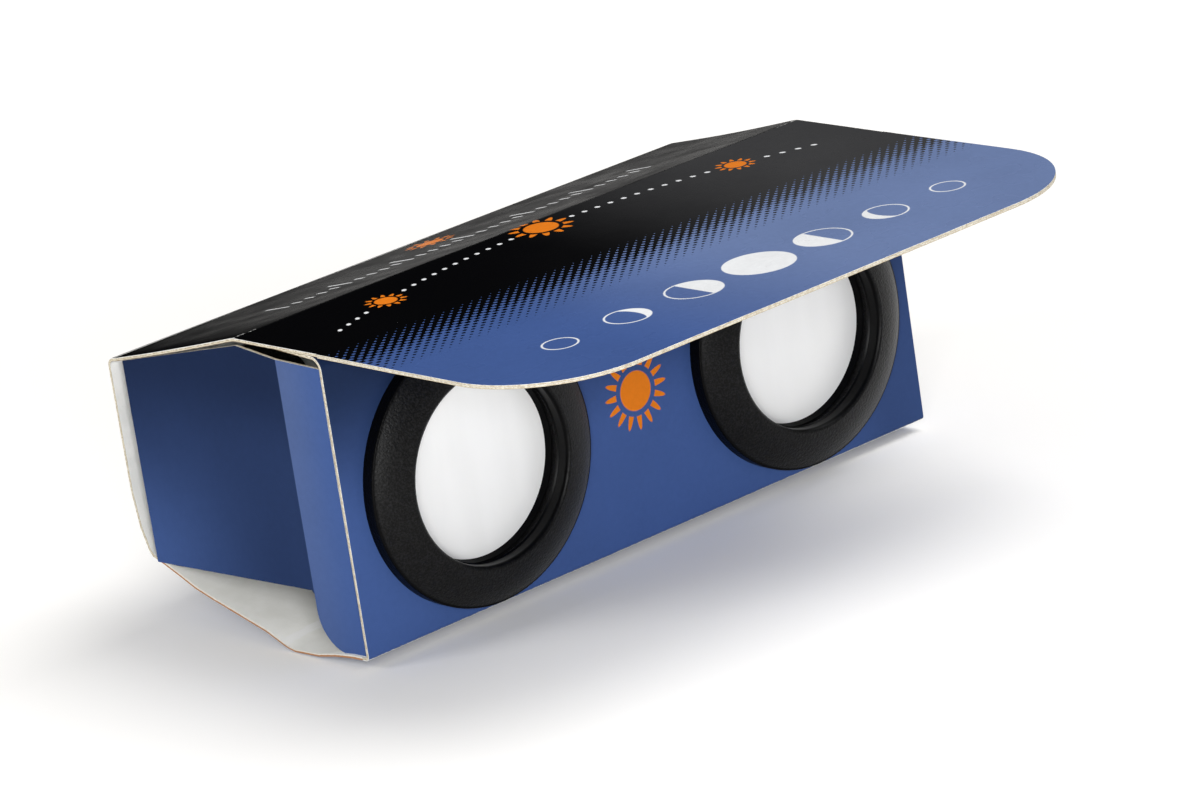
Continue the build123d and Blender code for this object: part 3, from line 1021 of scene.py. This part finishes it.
def moulding(name, smooth_radius, rim):
    """Black plastic: a grained face between two radii from the optical axis and a smooth bore; the wall and
    the face's outer edge keep the grain but take the bore's colour and gloss, without sheen.
    """
    made, tree = blank_material(name)
    place = add(tree, "TexCoord").outputs["Object"]
    parts = add(tree, "SeparateXYZ", Vector=place)
    away_x = calc(tree, "SUBTRACT", calc(tree, "ABSOLUTE", parts.outputs[0]), axis_x)
    away_z = calc(tree, "SUBTRACT", parts.outputs[2], axis_z)
    away = length(tree, away_x, away_z)
    outside = past(tree, away, smooth_radius, bore_edge)
    on_face = product(tree, outside, short_of(tree, away, rim - rim_inset, bore_edge))
    grain = noise(tree, place, scale=mould_grain_scale, detail=3.0, rough=0.7)
    pits = add(tree, "TexVoronoi", Vector=place, Scale=mould_pit_scale).outputs["Distance"]
    height = product(tree, calc(tree, "ADD", grain, product(tree, pits, mould_pit_share)), outside)
    bump = add(tree, "Bump", Height=height, Strength=mould_grain_strength, Distance=mould_grain_depth)
    speck = spread(tree, noise(tree, place, scale=face_speck_scale, rough=0.7), *face_speck_span)
    surface(
        tree,
        Base_Color=mix(tree, on_face, bore_black, mix(tree, speck, face_black, face_speck)),
        Roughness=spread(tree, outside, 0.0, 1.0, bore_rough, face_rough),
        Normal=bump.outputs[0],
        Specular_IOR_Level=spread(tree, on_face, 0.0, 1.0, bore_gloss, face_gloss),
        Sheen_Weight=product(tree, on_face, face_sheen),
        Sheen_Roughness=0.4,
    )
    return made


def dress(node, material):
    """Gives a piece of the frame its finish."""
    nodes[node].data.materials.clear()
    nodes[node].data.materials.append(material)


ring_plastic = moulding("objective_ring_plastic", objective_bore, (ring_high.x - ring_low.x) / 2)
eye_plastic = moulding("eye_ring_plastic", eye_bore, (eye_ring_high.x - eye_ring_low.x) / 2)
for side in ("left", "right"):
    dress(f"{side}_objective_ring", ring_plastic)
    dress(f"{side}_objective_retainer", ring_plastic)
    dress(f"{side}_eye_ring", eye_plastic)
    dress(f"{side}_eye_retainer", eye_plastic)

# Behind the lip of each objective ring lie a disc of silvered film that faces the sun, a grey
# spacer ring and the objective lens. Each eye cell holds a hollow lens. The film isn't quite flat.
film_grey = (0.92, 0.92, 0.905)
film_white = (0.97, 0.97, 0.955)
film_relief = 0.0005
film_stretch = (1.0, 1.0, 0.12)
film_streak_scale = 260.0
film_cloud_scale = 60.0
haze_scale = 140.0
haze_span = (0.3, 0.8)
haze_levels = (0.02, 0.07)
spacer_dark = (0.45, 0.46, 0.46)
spacer_pale = (0.55, 0.56, 0.56)
lens_tint = (0.95, 0.97, 0.98, 1)

film_silver, tree = blank_material("film_silver")
place = add(tree, "TexCoord").outputs["Object"]
upright = add(tree, "Mapping", Vector=place, Scale=film_stretch).outputs[0]
streak = noise(tree, upright, scale=film_streak_scale, detail=3.0)
cloud = noise(tree, place, scale=film_cloud_scale)
tone = calc(tree, "ADD", product(tree, streak, 0.5), product(tree, cloud, 0.5))
silver = mix(tree, spread(tree, tone, *middle_span), film_grey, film_white)
bump = add(tree, "Bump", Height=tone, Strength=0.12, Distance=film_relief)
surface(tree, Base_Color=silver, Metallic=0.10, Roughness=0.40, Normal=bump.outputs[0])

spacer_grey, tree = blank_material("spacer_grey")
place = add(tree, "TexCoord").outputs["Object"]
grey = mix(tree, noise(tree, place, scale=500.0), spacer_dark, spacer_pale)
surface(tree, Base_Color=grey, Roughness=0.3)

clear_lens, tree = blank_material("clear_lens")
place = add(tree, "TexCoord").outputs["Object"]
haze = spread(tree, noise(tree, place, scale=haze_scale, detail=3.0), *haze_span, *haze_levels)
surface(tree, Base_Color=lens_tint, Roughness=haze, IOR=1.49, Transmission_Weight=1.0)

for side in ("left", "right"):
    dress(f"{side}_solar_filter", film_silver)
    dress(f"{side}_filter_spacer", spacer_grey)
    dress(f"{side}_objective_lens", clear_lens)
    dress(f"{side}_eye_lens", clear_lens)
